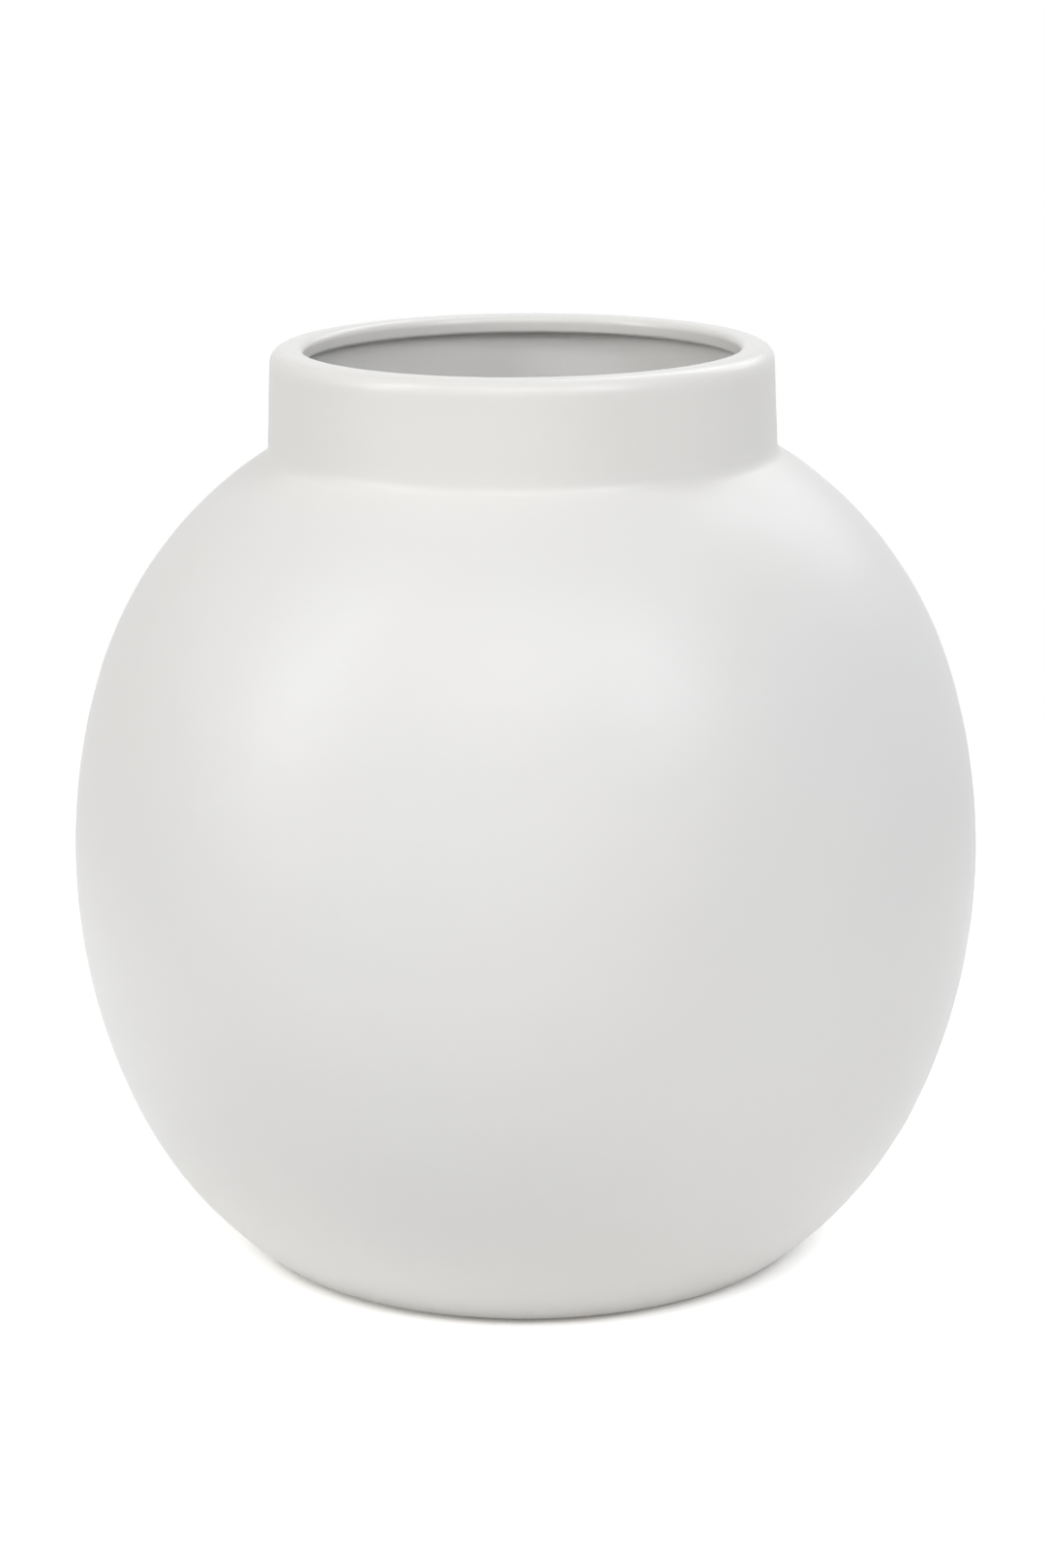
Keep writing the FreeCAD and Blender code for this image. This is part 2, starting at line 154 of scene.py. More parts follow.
def polar(centre, radius, angle):
    return (centre[0] + radius * math.cos(angle), centre[1] + radius * math.sin(angle))


def arc(centre, radius, start, end, step):
    turns = max(2, math.ceil(abs(end - start) * radius / step))
    return [polar(centre, radius, start + (end - start) * k / turns) for k in range(turns + 1)]


def between(centre, radius, first, last, step):
    # Arc from one point to another about a centre, the short way round
    start = math.atan2(first[1] - centre[1], first[0] - centre[0])
    end = math.atan2(last[1] - centre[1], last[0] - centre[0])
    turn = (end - start + math.pi) % (2 * math.pi) - math.pi
    return arc(centre, radius, start, start + turn, step)


def filled(points, step):
    # Adds points along the straight runs, and drops the second of two that fall together
    dense = [points[0]]
    for point in points[1:]:
        last = dense[-1]
        gap = math.dist(point, last)
        if gap < samePlace:
            continue
        count = max(1, round(gap / step))
        dense += [(last[0] + (point[0] - last[0]) * k / count, last[1] + (point[1] - last[1]) * k / count)
                  for k in range(1, count + 1)]
    return dense


def arcCentres():
    # As on a maker's template: from the belly down to the foot, and from the belly up to the collar
    low = jar["lowerSideRadius"] - jar["hipRadius"]
    high = jar["upperSideRadius"] - jar["shoulderRadius"]
    hipR = jar["bellyRadius"] - jar["lowerSideRadius"] + low * math.cos(jar["lowerSideSweep"])
    hipZ = math.sqrt(jar["hipRadius"] ** 2 - (jar["footEdgeRadius"] - hipR) ** 2)
    bellyZ = hipZ + low * math.sin(jar["lowerSideSweep"])
    upper = (jar["bellyRadius"] - jar["upperSideRadius"], bellyZ)
    shoulder = polar(upper, high, jar["upperSideSweep"])
    reach = jar["shoulderRadius"] + jar["filletRadius"]
    filletR = jar["collarBaseRadius"] + jar["filletRadius"]
    filletZ = shoulder[1] + math.sqrt(reach ** 2 - (filletR - shoulder[0]) ** 2)
    return {
        "hip": (hipR, hipZ),
        "lower": (jar["bellyRadius"] - jar["lowerSideRadius"], bellyZ),
        "upper": upper,
        "shoulder": shoulder,
        "fillet": (filletR, filletZ),
    }


arcs = arcCentres()
touchAngle = math.atan2(arcs["fillet"][1] - arcs["shoulder"][1], arcs["fillet"][0] - arcs["shoulder"][0])
collarTop = jar["collarBaseRadius"] - jar["collarTaper"]
hollow = jar["glaze"] + jar["wall"]
lining = hollow + jar["glaze"]


def onHip(depth, height):
    radius = jar["hipRadius"] - depth
    return (arcs["hip"][0] + math.sqrt(radius ** 2 - (height - arcs["hip"][1]) ** 2), height)


def bodyWall(depth, start, step, coil=0.0):
    # From a point on the hip arc up to the collar, at a depth inside the glazed outline.
    # A coil swells the wall where the two bowls meet.
    widest = (jar["bellyRadius"] - depth, arcs["lower"][1])
    sideBottom = polar(arcs["lower"], jar["lowerSideRadius"] - depth, -jar["lowerSideSweep"])
    sideTop = polar(arcs["upper"], jar["upperSideRadius"] - depth, jar["upperSideSweep"])
    touch = polar(arcs["shoulder"], jar["shoulderRadius"] - depth, touchAngle)
    collarFoot = (jar["collarBaseRadius"] - depth, arcs["fillet"][1])
    side = between(arcs["lower"], jar["lowerSideRadius"] - depth, sideBottom, widest, step)
    side += between(arcs["upper"], jar["upperSideRadius"] - depth, widest, sideTop, step)
    half = jar["coilWidth"] / 2 + jar["glaze"]
    bulge = [coil * max(0.0, 1 - ((z - widest[1]) / half) ** 2) ** jar["coilRoundness"] for r, z in side]
    side = [(r - rise, z) for (r, z), rise in zip(side, bulge)]
    return (between(arcs["hip"], jar["hipRadius"] - depth, start, sideBottom, step) + side
            + between(arcs["shoulder"], jar["shoulderRadius"] - depth, sideTop, touch, step)
            + between(arcs["fillet"], jar["filletRadius"] + depth, touch, collarFoot, step / smallCurve))


def lip(skin, step):
    # Over the rim, down the bead and out under it, with the glaze as thick as skin
    mouth = collarTop - lining - jar["beadOverhang"] + jar["glaze"]
    clayTop = jar["rimHeight"] - jar["glaze"]
    outer = (collarTop - jar["glaze"] - jar["lipOuterRound"], clayTop - jar["lipOuterRound"])
    inner = (mouth + jar["lipInnerRound"], clayTop - jar["lipInnerRound"])
    lower = (mouth + jar["beadLowerRound"], inner[1] - jar["mouthLand"])
    return (arc(outer, jar["lipOuterRound"] + skin, 0, math.pi / 2, step)
            + arc(inner, jar["lipInnerRound"] + skin, math.pi / 2, math.pi, step)
            + arc(lower, jar["beadLowerRound"] + skin, math.pi, 3 * math.pi / 2, step)
            + [(collarTop - lining, lower[1] - jar["beadLowerRound"] - skin)])


# Turning a section into a skin

wheel = {
    "swellScale": 13.0,
    "swellDetail": 1.0,
    "strayScale": 30.0,
    "strayDetail": 1.0,
    "straySeedStep": 5.0,
    "hemScale": 4.0,
    "hemDetail": 3.0,
    "weldReach": 2e-6,
}


def latheTree():
    tree = bpy.data.node_groups.new("turnedSection", "GeometryNodeTree")
    bench = Bench(tree)
    names = {
        "Section": "NodeSocketGeometry",
        "Steps Around": "NodeSocketInt",
        "Rows": "NodeSocketInt",
        "Ripple Depth": "NodeSocketFloat",
        "Ripple Pitch": "NodeSocketFloat",
        "Swell Depth": "NodeSocketFloat",
        "Hem Depth": "NodeSocketFloat",
        "Seed": "NodeSocketFloat",
        "Finish": "NodeSocketMaterial",
    }
    for name, kind in names.items():
        tree.interface.new_socket(name, in_out="INPUT", socket_type=kind)
    tree.interface.new_socket("Skin", in_out="OUTPUT", socket_type="NodeSocketGeometry")
    start = bench.node("NodeGroupInput")
    given = {name: bench.other(start, name) for name in names}

    # A sheet with one column for each step round the axis and one row for each point of the section
    sheet = bench.node("GeometryNodeMeshGrid", None, {
        "Size X": 1.0, "Size Y": 1.0,
        "Vertices X": given["Steps Around"] + 1, "Vertices Y": given["Rows"]})
    flat = bench.node("ShaderNodeSeparateXYZ", None, {0: bench.node("GeometryNodeInputPosition")})
    angle = (bench.other(flat, "X") + 0.5) * (2 * math.pi)
    row = bench.node("FunctionNodeFloatToInt", {"rounding_mode": "ROUND"},
                     {0: (bench.other(flat, "Y") + 0.5) * (given["Rows"] - 1)})
    cosine = bench.node("ShaderNodeMath", {"operation": "COSINE"}, {0: angle})
    sine = bench.node("ShaderNodeMath", {"operation": "SINE"}, {0: angle})

    def fromSection(value, kind="FLOAT_VECTOR"):
        found = bench.node("GeometryNodeSampleIndex", {"data_type": kind, "domain": "POINT"},
                           {"Geometry": given["Section"], "Value": value, "Index": row})
        return found if kind == "FLOAT" else bench.node("ShaderNodeSeparateXYZ", None, {0: found})

    def attribute(name, kind="FLOAT_VECTOR"):
        return bench.node("GeometryNodeInputNamedAttribute", {"data_type": kind}, {"Name": name})

    def turnedTo(reach, height):
        return bench.node("ShaderNodeCombineXYZ", None, {0: cosine * reach, 1: sine * reach, 2: height})

    point = fromSection(bench.node("GeometryNodeInputPosition"))
    sink = fromSection(attribute("sink"))
    creep = fromSection(attribute("creep"))
    along = fromSection(attribute("along", "FLOAT"), "FLOAT")

    # Clay off the wheel is never quite even: broad swells, and faint ripples that climb in a spiral
    spot = turnedTo(bench.other(point, "X"), bench.other(point, "Z"))
    swell = bench.node("ShaderNodeTexNoise", {"noise_dimensions": "4D"},
                       {"Vector": spot, "W": given["Seed"],
                        "Scale": wheel["swellScale"], "Detail": wheel["swellDetail"]})
    stray = bench.node("ShaderNodeTexNoise", {"noise_dimensions": "4D"},
                       {"Vector": spot, "W": given["Seed"] + wheel["straySeedStep"],
                        "Scale": wheel["strayScale"], "Detail": wheel["strayDetail"]})
    phase = along / given["Ripple Pitch"] + angle / (2 * math.pi) + stray
    ripple = bench.node("ShaderNodeMath", {"operation": "SINE"}, {0: phase * (2 * math.pi)}) * 0.5 + 0.5
    depth = swell * given["Swell Depth"] + ripple * given["Ripple Depth"]

    # The glaze stops above the table in a line that wanders as it was wiped
    ring = bench.node("ShaderNodeCombineXYZ", None, {0: cosine, 1: sine, 2: given["Seed"]})
    hem = bench.node("ShaderNodeTexNoise", None,
                     {"Vector": ring, "Scale": wheel["hemScale"], "Detail": wheel["hemDetail"]})
    climb = hem * given["Hem Depth"]

    reach = bench.other(point, "X") + bench.other(sink, "X") * depth + bench.other(creep, "X") * climb
    height = bench.other(point, "Z") + bench.other(sink, "Z") * depth + bench.other(creep, "Z") * climb
    place = turnedTo(reach, height)
    skin = bench.node("GeometryNodeSetPosition", None, {"Geometry": sheet, "Position": place})
    skin = bench.node("GeometryNodeMergeByDistance", None, {"Geometry": skin, "Distance": wheel["weldReach"]})
    skin = bench.node("GeometryNodeSetShadeSmooth", None, {"Geometry": skin, "Shade Smooth": True})
    skin = bench.node("GeometryNodeRealizeInstances", None, {"Geometry": skin})
    skin = bench.node("GeometryNodeSetMaterial", None, {"Geometry": skin, "Material": given["Finish"]})
    end = tree.nodes.new("NodeGroupOutput")
    bench.plug(skin, end.inputs["Skin"])
    return tree


def leftOf(points, k):
    # Unit vector square to the section at a point, on the left of the way it runs: into the piece
    before = points[max(k - 1, 0)]
    after = points[min(k + 1, len(points) - 1)]
    length = math.dist(before, after)
    return ((before[1] - after[1]) / length, (after[0] - before[0]) / length)


def turned(name, points, shares, settings, finish, creep=None):
    # points is the closed section, anticlockwise; shares say how far each point takes the unevenness
    flows = {"sink": [], "creep": []}
    along = [0.0]
    for k, point in enumerate(points):
        inward = leftOf(points, k)
        flows["sink"] += [inward[0] * shares[k], 0.0, inward[1] * shares[k]]
        flows["creep"] += [creep[k][0], 0.0, creep[k][1]] if creep else [0.0, 0.0, 0.0]
        along.append(along[-1] + math.dist(point, points[min(k + 1, len(points) - 1)]))

    mesh = bpy.data.meshes.new(name + "Section")
    mesh.from_pydata([(r, 0, z) for r, z in points], [(k, k + 1) for k in range(len(points) - 1)], [])
    mesh.attributes.new("along", "FLOAT", "POINT").data.foreach_set("value", along[:-1])
    for flow, numbers in flows.items():
        mesh.attributes.new(flow, "FLOAT_VECTOR", "POINT").data.foreach_set("vector", numbers)
    section = bpy.data.objects.new(name + "Section", mesh)
    bpy.context.scene.collection.objects.link(section)

    modifier = section.modifiers.new("turned", "NODES")
    modifier.node_group = lathe
    sockets = {item.name: item.identifier for item in lathe.interface.items_tree if item.in_out == "INPUT"}
    for label, value in {**settings, "Rows": len(points), "Finish": finish}.items():
        modifier[sockets[label]] = value
    bpy.context.view_layer.update()
    evaluated = section.evaluated_get(bpy.context.evaluated_depsgraph_get())
    skin = bpy.data.meshes.new_from_object(evaluated)
    skin.name = name
    piece = bpy.data.objects.new(name, skin)
    bpy.context.scene.collection.objects.link(piece)
    section.modifiers.remove(modifier)
    bpy.data.objects.remove(section)
    print("turned", name, "with", len(skin.polygons), "faces")
    return piece


def seated(piece, node):
    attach(piece, "root")
    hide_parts(node)


# Finishes

def newFinish(name):
    material = bpy.data.materials.new(name)
    material.use_nodes = True
    material.node_tree.nodes.clear()
    return material, Bench(material.node_tree)


def noise(bench, spot, scale, detail, roughness):
    return bench.node("ShaderNodeTexNoise", None,
                      {"Vector": spot, "Scale": scale, "Detail": detail, "Roughness": roughness})


def blend(bench, share, first, second):
    return bench.node("ShaderNodeMix", {"data_type": "RGBA"}, {0: share, 6: first, 7: second}, out=2)


def ramped(bench, value, low, high):
    return bench.node("ShaderNodeMapRange", {"clamp": True},
                      {"Value": value, "From Min": low, "From Max": high})


def surfaced(bench, colour, roughness, normal, fixed):
    shader = bench.node("ShaderNodeBsdfPrincipled", None,
                        {"Base Color": colour, "Roughness": roughness, "Normal": normal, **fixed})
    end = bench.tree.nodes.new("ShaderNodeOutputMaterial")
    bench.plug(shader, end.inputs["Surface"])


def glazeFinish(name, look):
    material, bench = newFinish(name)
    spot = bench.node("ShaderNodeTexCoord", out="Object")
    split = bench.node("ShaderNodeSeparateXYZ", None, {0: spot})
    height = bench.other(split, "Z")

    # Colour: broad warm and cool drifts, smaller clouds, painted shade that makes the collar and lip darker
    # and warmer, painted light that makes the glaze paler towards the foot, and painted light that makes the
    # lip and bead paler
    drift = noise(bench, spot, *look["driftGrain"])
    cloud = noise(bench, spot, *look["cloudGrain"])
    colour = blend(bench, ramped(bench, drift, *look["driftBand"]), look["cool"], look["warm"])
    colour = blend(bench, ramped(bench, cloud, *look["cloudBand"]) * look["cloudShare"], colour, look["deep"])
    # Painted shade tints the collar and lip darker and warmer; painted light makes the glaze paler towards
    # the foot
    for start, full, tint in look["ends"]:
        colour = blend(bench, ramped(bench, height, start, full) * look["paintedBandShare"], colour, tint)
    # Painted light: the lip and the bead under it are made paler near the rim, and the same ramp makes them
    # smoother
    lipLightAndGloss = ramped(bench, height, jar["rimHeight"] - look["lipLightAndGlossReach"], jar["rimHeight"])
    colour = blend(bench, lipLightAndGloss * look["paintedLipLightShare"], colour, look["paintedLipLightColour"])

    # Gloss: a satin surface, a little duller in patches and smoother on the lip
    patch = noise(bench, spot, *look["patchGrain"])
    roughness = patch * look["roughnessSpread"] + (look["roughness"] - look["roughnessSpread"] / 2)
    roughness = roughness - lipLightAndGloss * look["thinGloss"]

    # Relief: the fine orange peel of a matte glaze, over soft dimples
    peel = noise(bench, spot, *look["peelGrain"])
    dimple = noise(bench, spot, *look["dimpleGrain"])
    relief = peel * look["peelDepth"] + dimple * look["dimpleDepth"]
    normal = bench.node("ShaderNodeBump", None, {"Strength": 1.0, "Distance": 1.0, "Height": relief})
    surfaced(bench, colour, roughness, normal, {"IOR": look["ior"], "Specular IOR Level": look["specular"]})
    return material


def clayFinish(name, look):
    material, bench = newFinish(name)
    spot = bench.node("ShaderNodeTexCoord", out="Object")
    split = bench.node("ShaderNodeSeparateXYZ", None, {0: spot})
    x = bench.other(split, "X")
    y = bench.other(split, "Y")
    height = bench.other(split, "Z")
    reach = (x * x + y * y) ** 0.5

    # Colour: cloudy body, fine grog, and a toasted band up to where the glaze stops
    cloud = noise(bench, spot, *look["cloudGrain"])
    grog = bench.node("ShaderNodeTexVoronoi", None, {"Vector": spot, "Scale": look["grogScale"]})
    speck = 1 - ramped(bench, grog, look["speckSize"] * look["speckCoreShare"], look["speckSize"])
    colour = blend(bench, ramped(bench, cloud, *look["cloudBand"]), look["pale"], look["body"])
    colour = blend(bench, speck * look["speckShare"], colour, look["speck"])
    toast = ramped(bench, height, look["toastFrom"], look["toastTo"])
    colour = blend(bench, toast * look["toastShare"], colour, look["toast"])

    # Relief: turning rings left by the trimming tool, and a dry sandy grain
    turns = (reach + cloud * look["ringWander"]) / look["ringPitch"]
    ring = bench.node("ShaderNodeMath", {"operation": "SINE"}, {0: turns * (2 * math.pi)})
    grain = noise(bench, spot, *look["sandGrain"])
    relief = ring * look["ringDepth"] + grain * look["grainDepth"] - speck * look["speckDepth"]
    normal = bench.node("ShaderNodeBump", None, {"Strength": 1.0, "Distance": 1.0, "Height": relief})
    roughness = grain * look["roughnessSpread"] + look["roughness"]
    surfaced(bench, colour, roughness, normal, {"IOR": look["ior"], "Specular IOR Level": look["specular"]})
    return material


# A grain is the scale, detail and roughness of one noise
glazeLook = {
    "cool": (0.845, 0.85, 0.853, 1),
    "warm": (0.862, 0.857, 0.845, 1),
    "deep": (0.835, 0.832, 0.822, 1),
    # Bands by height: painted shade on the collar and lip, and painted light low down towards the foot
    "ends": [(0.198, 0.21, (0.83, 0.825, 0.8, 1)), (0.05, 0.01, (0.89, 0.883, 0.86, 1))],
    "paintedBandShare": 0.7,
    # Painted light: the paler colour of the lip and bead, and how far down and how strongly it reaches
    "paintedLipLightColour": (0.905, 0.9, 0.888, 1),
    "lipLightAndGlossReach": 0.006,
    "paintedLipLightShare": 0.5,
    "thinGloss": 0.15,
    "driftGrain": (9.0, 2.0, 0.5),
    "driftBand": (0.35, 0.65),
    "cloudGrain": (38.0, 4.0, 0.6),
    "cloudBand": (0.3, 0.7),
    "cloudShare": 0.35,
    "patchGrain": (30.0, 3.0, 0.5),
    "roughness": 0.4,
    "roughnessSpread": 0.1,
    "peelGrain": (1100.0, 2.0, 0.5),
    "peelDepth": 0.000012,
    "dimpleGrain": (160.0, 1.0, 0.5),
    "dimpleDepth": 0.00002,
    "ior": 1.5,
    "specular": 0.43,
}
# The inside glaze is whiter than the outside one: painted light that lifts the shaded inside of the jar, also
# used for the glaze under the foot
linerPaintedLightLook = {**glazeLook, "cool": (0.93, 0.928, 0.92, 1), "warm": (0.935, 0.928, 0.914, 1), "ends": [],
             "roughness": 0.45, "dimpleDepth": 0.00005}
footLook = {
    "pale": (0.8, 0.775, 0.73, 1),
    "body": (0.76, 0.73, 0.68, 1),
    "speck": (0.5, 0.43, 0.36, 1),
    "toast": (0.66, 0.6, 0.52, 1),
    "toastFrom": 0.0002,
    "toastTo": 0.002,
    "toastShare": 0.5,
    "cloudGrain": (60.0, 4.0, 0.6),
    "cloudBand": (0.3, 0.7),
    "grogScale": 700.0,
    "speckSize": 0.16,
    "speckCoreShare": 0.6,
    "speckShare": 0.45,
    "speckDepth": 0.00004,
    "ringPitch": 0.0009,
    "ringWander": 0.0006,
    "ringDepth": 0.000012,
    "sandGrain": (1500.0, 3.0, 0.7),
    "grainDepth": 0.00004,
    "roughness": 0.78,
    "roughnessSpread": 0.15,
    "ior": 1.5,
    "specular": 0.3,
}
clayLook = {**footLook, "toastShare": 0.0, "pale": (0.81, 0.79, 0.75, 1), "body": (0.78, 0.755, 0.71, 1)}
slipLook = {**footLook, "toastShare": 0.0, "ringDepth": 0.0, "speckShare": 0.15,
            "pale": (0.79, 0.77, 0.73, 1), "body": (0.75, 0.73, 0.69, 1)}

glazeMaterial = glazeFinish("satinWhiteGlaze", glazeLook)
# The inside glaze finish carries painted light: it is paler than the outside glaze
linerPaintedLightMaterial = glazeFinish("linerGlazePaintedLight", linerPaintedLightLook)
footMaterial = clayFinish("bareFoot", footLook)
clayMaterial = clayFinish("firedClay", clayLook)
slipMaterial = clayFinish("firedSlip", slipLook)
print("finishes ready")

lathe = latheTree()


# Outer glaze

outerSkin = {
    "stepUp": 0.0026,
    "lipStep": 0.00022,
    "hiddenLipStep": 0.00066,
    "hiddenStep": 0.006,
    "hemReach": 0.004,
    "edgeProbe": 0.0005,
    "noseShare": 0.25,
    "lipFade": 0.003,
    "lipStillShare": 0.6,
    "outsideMargin": 0.001,
    "settings": {"Steps Around": 250, "Ripple Depth": 0.00004, "Ripple Pitch": 0.014, "Swell Depth": 0.00012,
                 "Hem Depth": 0.0006, "Seed": 3.0},
}


def outerGlaze():
    stop = jar["glazeStop"]
    low = onHip(0, stop)
    wall = filled(bodyWall(0, low, outerSkin["stepUp"]), outerSkin["stepUp"])
    over = lip(jar["glaze"], outerSkin["lipStep"])
    shown = filled(wall + over, outerSkin["stepUp"])
    back = lip(0, outerSkin["hiddenLipStep"]) + [(collarTop - lining, over[-1][1] + jar["glaze"])]
    hidden = bodyWall(jar["glaze"], onHip(jar["glaze"], stop), outerSkin["hiddenStep"]) + back
    # The edge of the glaze is a round nose with a flat underneath
    edge = [onHip(jar["glaze"], stop), low]
    middle = ((edge[0][0] + edge[1][0]) / 2, (edge[0][1] + edge[1][1]) / 2)
    nose = arc(middle, jar["glaze"] / 2, math.pi, 2 * math.pi, jar["glaze"] / smallCurve)
    nose = [(r, max(z, middle[1] - jar["glaze"] * outerSkin["noseShare"])) for r, z in nose]
    points = filled(nose[1:-1] + shown + hidden[::-1], anyLength)
    points.append(points[0])

    # Near its edge the glaze creeps up the wall, and on the lip and the hidden side it is left even
    probe = outerSkin["edgeProbe"]
    slope = leftOf([onHip(0, stop - probe), low, onHip(0, stop + probe)], 1)
    flow = (slope[1], -slope[0])
    creep = []
    shares = []
    shownEnd = len(nose) - 2 + len(shown)
    for k, (r, z) in enumerate(points):
        nearness = max(0.0, 1 - math.dist((r, z), low) / outerSkin["hemReach"])
        creep.append((flow[0] * nearness, flow[1] * nearness))
        fade = (jar["rimHeight"] - z) / outerSkin["lipFade"] - outerSkin["lipStillShare"]
        outside = k < shownEnd and r > collarTop - outerSkin["outsideMargin"]
        shares.append(min(1.0, max(0.0, fade)) * (1 - nearness) if outside else 0.0)
    piece = turned("glazeOuter", points, shares, outerSkin["settings"], glazeMaterial, creep)
    seated(piece, "outer_glaze")


# Inner glaze

innerSkin = {
    "stepUp": 0.004,
    "hiddenStep": 0.008,
    "coilSwell": jar["coilRise"] + jar["glaze"],
    "edgeFade": 0.006,
    "settings": {"Steps Around": 220, "Ripple Depth": 0.00012, "Ripple Pitch": 0.011, "Swell Depth": 0.00008,
                 "Hem Depth": 0.0, "Seed": 11.0},
}


def innerGlaze():
    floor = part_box("inner_glaze")[0][2]
    roundZ = floor + jar["floorRound"]
    reach = jar["hipRadius"] - hollow - jar["floorRound"]
    roundR = arcs["hip"][0] + math.sqrt(reach ** 2 - (roundZ - arcs["hip"][1]) ** 2)
    tilt = math.atan2(roundZ - arcs["hip"][1], roundR - arcs["hip"][0])
    undercut = lip(0, innerSkin["stepUp"])[-1][1]

    def inside(depth, step, coil):
        edge = polar(arcs["hip"], jar["hipRadius"] - depth, tilt)
        bend = jar["floorRound"] - depth + hollow
        return ([(0.0, roundZ - bend)] + arc((roundR, roundZ), bend, -math.pi / 2, tilt, step)
                + bodyWall(depth, edge, step, coil) + [(collarTop - depth, undercut)])

    hidden = filled(inside(hollow, innerSkin["hiddenStep"], 0.0), innerSkin["hiddenStep"])
    shown = filled(inside(lining, innerSkin["stepUp"], innerSkin["coilSwell"]), innerSkin["stepUp"])[::-1]
    shares = [0.0] * len(hidden) + [min(1.0, (undercut - z) / innerSkin["edgeFade"]) for r, z in shown]
    piece = turned("glazeInner", hidden + shown, shares, innerSkin["settings"], linerPaintedLightMaterial)
    seated(piece, "inner_glaze")


# Foot ring

footSkin = {
    "outerRound": 0.0015,
    "innerRound": 0.001,
    "step": 0.0003,
    "sideStep": 0.0008,
    "hiddenStep": 0.002,
    "grooves": 5,
    "grooveDepth": 0.00007,
    "grooveSharpness": 3,
    "swellShare": 0.5,
    "stillAtTable": 0.0002,
    "stillAtTop": 0.0001,
    "settings": {"Steps Around": 240, "Ripple Depth": 0.0, "Ripple Pitch": 0.01, "Swell Depth": 0.00006,
                 "Hem Depth": 0.0, "Seed": 7.0},
}


def footRing():
    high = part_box("foot_ring")[1]
    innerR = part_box("base_glaze")[1][0]
    outerR = footSkin["outerRound"]
    clayRadius = jar["hipRadius"] - jar["glaze"]
    reach = clayRadius - outerR
    cornerR = arcs["hip"][0] + math.sqrt(reach ** 2 - (outerR - arcs["hip"][1]) ** 2)
    corner = (cornerR, outerR)
    tilt = math.atan2(outerR - arcs["hip"][1], cornerR - arcs["hip"][0])
    bend = footSkin["innerRound"]
    inner = (innerR + bend, bend)
    face = filled([(inner[0], 0.0), (cornerR, 0.0)], footSkin["step"])
    width = cornerR - inner[0]
    grooved = []
    for r, z in face:
        share = (r - inner[0]) / width
        cut = max(0.0, math.sin(share * math.pi * 2 * footSkin["grooves"])) ** footSkin["grooveSharpness"]
        grooved.append((r, cut * footSkin["grooveDepth"] * math.sin(share * math.pi)))
    sideBottom = polar(arcs["hip"], clayRadius, tilt)
    side = between(arcs["hip"], clayRadius, sideBottom, onHip(jar["glaze"], high[2]), footSkin["sideStep"])
    points = filled(arc(inner, bend, math.pi, 1.5 * math.pi, footSkin["step"]) + grooved
                    + arc(corner, outerR, -math.pi / 2, tilt, footSkin["step"]) + side
                    + [(innerR, high[2]), (innerR, bend)], footSkin["hiddenStep"])
    still = (footSkin["stillAtTable"], high[2] - footSkin["stillAtTop"])
    shares = [footSkin["swellShare"] if still[0] <= z <= still[1] else 0.0 for r, z in points]
    piece = turned("footRingClay", points, shares, footSkin["settings"], footMaterial)
    seated(piece, "foot_ring")


# Glaze in the recess under the foot

baseSkin = {
    "step": 0.0012,
    "hiddenStep": 0.01,
    "edgeFade": 0.003,
    "settings": {"Steps Around": 200, "Ripple Depth": 0.00012, "Ripple Pitch": 0.0065, "Swell Depth": 0.0001,
                 "Hem Depth": 0.0, "Seed": 19.0},
}


def baseGlaze():
    low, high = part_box("base_glaze")
    edge = high[0]
    shown = filled([(0.0, low[2]), (edge, low[2])], baseSkin["step"])
    hidden = filled([(edge, high[2]), (0.0, high[2])], baseSkin["hiddenStep"])
    shares = [min(1.0, (edge - r) / baseSkin["edgeFade"]) for r, z in shown] + [0.0] * len(hidden)
    piece = turned("glazeBase", shown + hidden, shares, baseSkin["settings"], linerPaintedLightMaterial)
    seated(piece, "base_glaze")


outerGlaze()
innerGlaze()
footRing()
baseGlaze()

# The clay under the glaze keeps its own solids
hiddenFinishes = {
    "lower_bowl": clayMaterial,
    "upper_bowl": clayMaterial,
    "neck_collar": clayMaterial,
    "waist_coil": clayMaterial,
    "waist_slip": slipMaterial,
    "neck_slip": slipMaterial,
    "foot_slip": slipMaterial,
}
for node, finish in hiddenFinishes.items():
    slots = frame["nodes"][node].data.materials
    slots.clear()
    slots.append(finish)
print("clay and slip finished")


# Camera, from the view that fits the photograph's outline

view = {
    "distance": 0.9351,
    "height": 0.3605,
    "aimHeight": 0.11832,
    "focal": 86.73,
    "side": -0.0007,
    "roll": math.radians(-0.445),
    "sensor": 36,
    "nearest": 0.01,
    "farthest": 50,
}


def camera():
    data = bpy.data.cameras.new("camera")
    data.lens = view["focal"]
    data.sensor_width = view["sensor"]
    data.sensor_fit = "AUTO"
    data.clip_start = view["nearest"]
    data.clip_end = view["farthest"]
    holder = bpy.data.objects.new("camera", data)
    bpy.context.scene.collection.objects.link(holder)
    holder.location = (view["side"], -view["distance"], view["height"])
    fall = math.atan2(view["height"] - view["aimHeight"], view["distance"])
    holder.rotation_mode = "ZYX"
    holder.rotation_euler = (math.pi / 2 - fall, 0, view["roll"])
    bpy.context.scene.camera = holder


# Floor, backdrop light and lamps

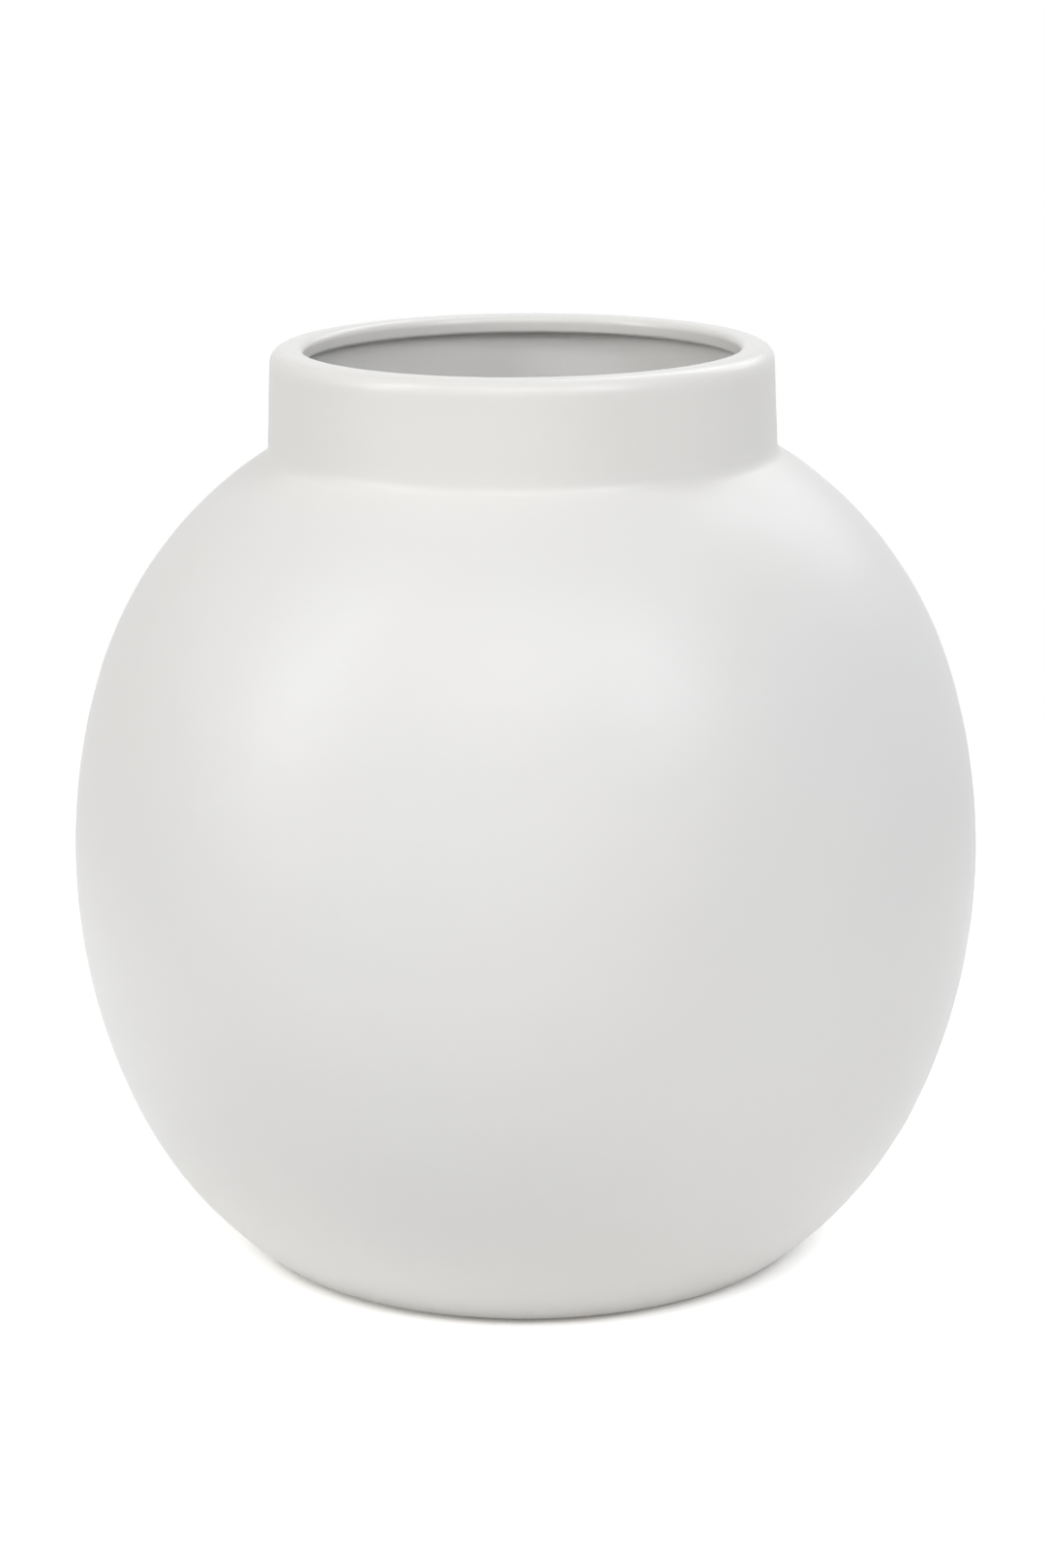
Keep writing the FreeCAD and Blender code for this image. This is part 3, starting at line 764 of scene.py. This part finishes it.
studio = {
    "floorSize": 12.0,
    "floorColour": (0.8, 0.8, 0.8, 1),
    "floorSeen": (2.0, 2.0, 2.0, 1),
    "clearReach": 0.068,
    "shadowReach": 0.3,
    "plainReach": 0.6,
    "worldStrength": 0.18,
    "lamps": {
        "keyLeft": {"place": (-1.58, -0.65, 1.34), "wide": 0.4, "tall": 1.7,
                    "power": 13.4, "tint": (1, 0.99, 0.965)},
        "lowRight": {"place": (2.0, -0.3, 0.4), "wide": 1.2, "tall": 1.2,
                     "power": 1.0, "tint": (0.99, 0.99, 1)},
        "lowLeft": {"place": (-2.0, -0.9, 0.3), "wide": 1.2, "tall": 1.2,
                    "power": 3.2, "tint": (1, 0.99, 0.965)},
        "softFront": {"place": (1.0, -1.15, 1.48), "wide": 0.5, "tall": 1.2,
                      "power": 11.5, "tint": (0.98, 0.986, 1)},
        "highFront": {"place": (-0.1, -1.4, 1.75), "wide": 1.0, "tall": 1.0,
                      "power": 9.2, "tint": (1, 0.978, 0.965)},
        "lowFront": {"place": (0.0, -2.2, 0.3), "wide": 1.2, "tall": 1.2,
                     "power": 3.9, "tint": (1, 0.975, 0.925)},
        "rimRight": {"place": (1.22, 1.45, 1.38), "wide": 1.1, "tall": 1.1,
                     "power": 7.6, "tint": (0.995, 0.99, 1)},
        "rimHigh": {"place": (0.5, 1.3, 1.7), "wide": 0.8, "tall": 0.8,
                    "power": 4.0, "tint": (0.9, 0.94, 1)},
        "overhead": {"place": (0.0, 0.2, 2.0), "wide": 1.6, "tall": 1.6,
                     "power": 0.8, "tint": (0.96, 0.99, 1)},
    },
    "aim": (0.0, 0.0, 0.11),
}


def lamps():
    for name, lamp in studio["lamps"].items():
        data = bpy.data.lights.new(name, "AREA")
        data.shape = "RECTANGLE"
        data.size = lamp["wide"]
        data.size_y = lamp["tall"]
        data.energy = lamp["power"]
        data.color = lamp["tint"]
        holder = bpy.data.objects.new(name, data)
        bpy.context.scene.collection.objects.link(holder)
        holder.location = lamp["place"]
        aim = Vector(studio["aim"]) - holder.location
        holder.rotation_euler = aim.to_track_quat("-Z", "Y").to_euler()


def seenDirectly(bench):
    # 1 for rays from the camera, straight or by way of a reflection or glass, and 0 for light on things
    path = bench.node("ShaderNodeLightPath", out="Is Camera Ray")
    others = bench.other(path, "Is Glossy Ray") + bench.other(path, "Is Transmission Ray")
    return bench.node("ShaderNodeMath", {"operation": "ADD", "use_clamp": True}, {0: path, 1: others})


def world():
    made = bpy.data.worlds.new("studio")
    bpy.context.scene.world = made
    made.use_nodes = True
    made.node_tree.nodes.clear()
    bench = Bench(made.node_tree)
    strength = seenDirectly(bench) * (1 - studio["worldStrength"]) + studio["worldStrength"]
    glow = bench.node("ShaderNodeBackground", None, {"Color": (1, 1, 1, 1), "Strength": strength})
    end = made.node_tree.nodes.new("ShaderNodeOutputWorld")
    bench.plug(glow, end.inputs["Surface"])


def floor():
    half = studio["floorSize"] / 2
    mesh = bpy.data.meshes.new("floor")
    corners = [(-half, -half, 0), (half, -half, 0), (half, half, 0), (-half, half, 0)]
    mesh.from_pydata(corners, [], [(0, 1, 2, 3)])
    piece = bpy.data.objects.new("floor", mesh)
    bpy.context.scene.collection.objects.link(piece)
    material, bench = newFinish("paleFloor")
    direct = seenDirectly(bench)
    colour = blend(bench, direct, studio["floorColour"], studio["floorSeen"])
    paper = bench.node("ShaderNodeBsdfDiffuse", None, {"Color": colour})
    # Away from the jar the paper reads as plain white, so that it has no far edge
    spot = bench.node("ShaderNodeTexCoord", out="Object")
    reach = bench.node("ShaderNodeVectorMath", {"operation": "LENGTH"}, {0: spot}, out=1)
    away = ramped(bench, reach, studio["shadowReach"], studio["plainReach"])
    white = bench.node("ShaderNodeEmission", None, {"Color": (1, 1, 1, 1), "Strength": 1.0})
    shader = bench.node("ShaderNodeMixShader", None, {0: away * direct, 1: paper, 2: white})
    # The paper is clear from below and under the foot, so that the underside is seen and lit
    beneath = bench.node("ShaderNodeMath", {"operation": "LESS_THAN"}, {0: reach, 1: studio["clearReach"]})
    under = bench.node("ShaderNodeNewGeometry", out="Backfacing")
    either = bench.node("ShaderNodeMath", {"operation": "MAXIMUM"}, {0: beneath, 1: under})
    clear = bench.node("ShaderNodeBsdfTransparent")
    shader = bench.node("ShaderNodeMixShader", None, {0: either, 1: shader, 2: clear})
    end = material.node_tree.nodes.new("ShaderNodeOutputMaterial")
    bench.plug(shader, end.inputs["Surface"])
    mesh.materials.append(material)


camera()
lamps()
world()
floor()
bpy.context.scene.view_settings.view_transform = "Standard"
print("studio ready")
